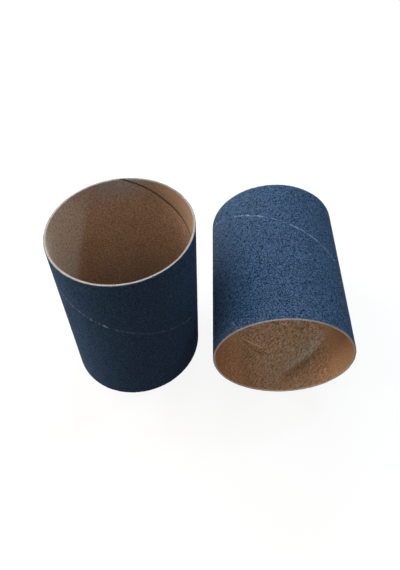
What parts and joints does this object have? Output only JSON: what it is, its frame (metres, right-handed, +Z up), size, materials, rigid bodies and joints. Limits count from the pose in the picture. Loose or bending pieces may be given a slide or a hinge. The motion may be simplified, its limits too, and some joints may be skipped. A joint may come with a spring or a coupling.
{
  "type": "sanding sleeve pair",
  "caption": "Spiral-wound open-ended abrasive tubes, blue grit on cloth outside and a kraft paper liner inside, that slip over a spindle sander's drum to sand curved edges.",
  "frame": {"origin": "on the surface that the sleeves rest on, under the middle of the pair's box", "axes": "+X from the standing sleeve to the lying one, +Y away from the viewer along the lying sleeve's axis, +Z up along the standing sleeve's axis"},
  "size_m": [0.1628, 0.1028, 0.1016],
  "materials": {
    "kraft_paper": "matte",
    "cotton_cloth": "matte",
    "blue_grit": "matte"
  },
  "bodies": {
    "lying_sleeve": {"lying_kraft_liner": "kraft_paper", "lying_cloth_backing": "cotton_cloth", "lying_grit_coat": "blue_grit"},
    "standing_sleeve": {"standing_kraft_liner": "kraft_paper", "standing_cloth_backing": "cotton_cloth", "standing_grit_coat": "blue_grit"}
  },
  "joints": [
    {"name": "standing_sleeve_slide", "type": "slide", "parent": "lying_sleeve", "child": "standing_sleeve", "axis": [0, 0, 1], "range_m": [0, 0.1016]}
  ]
}
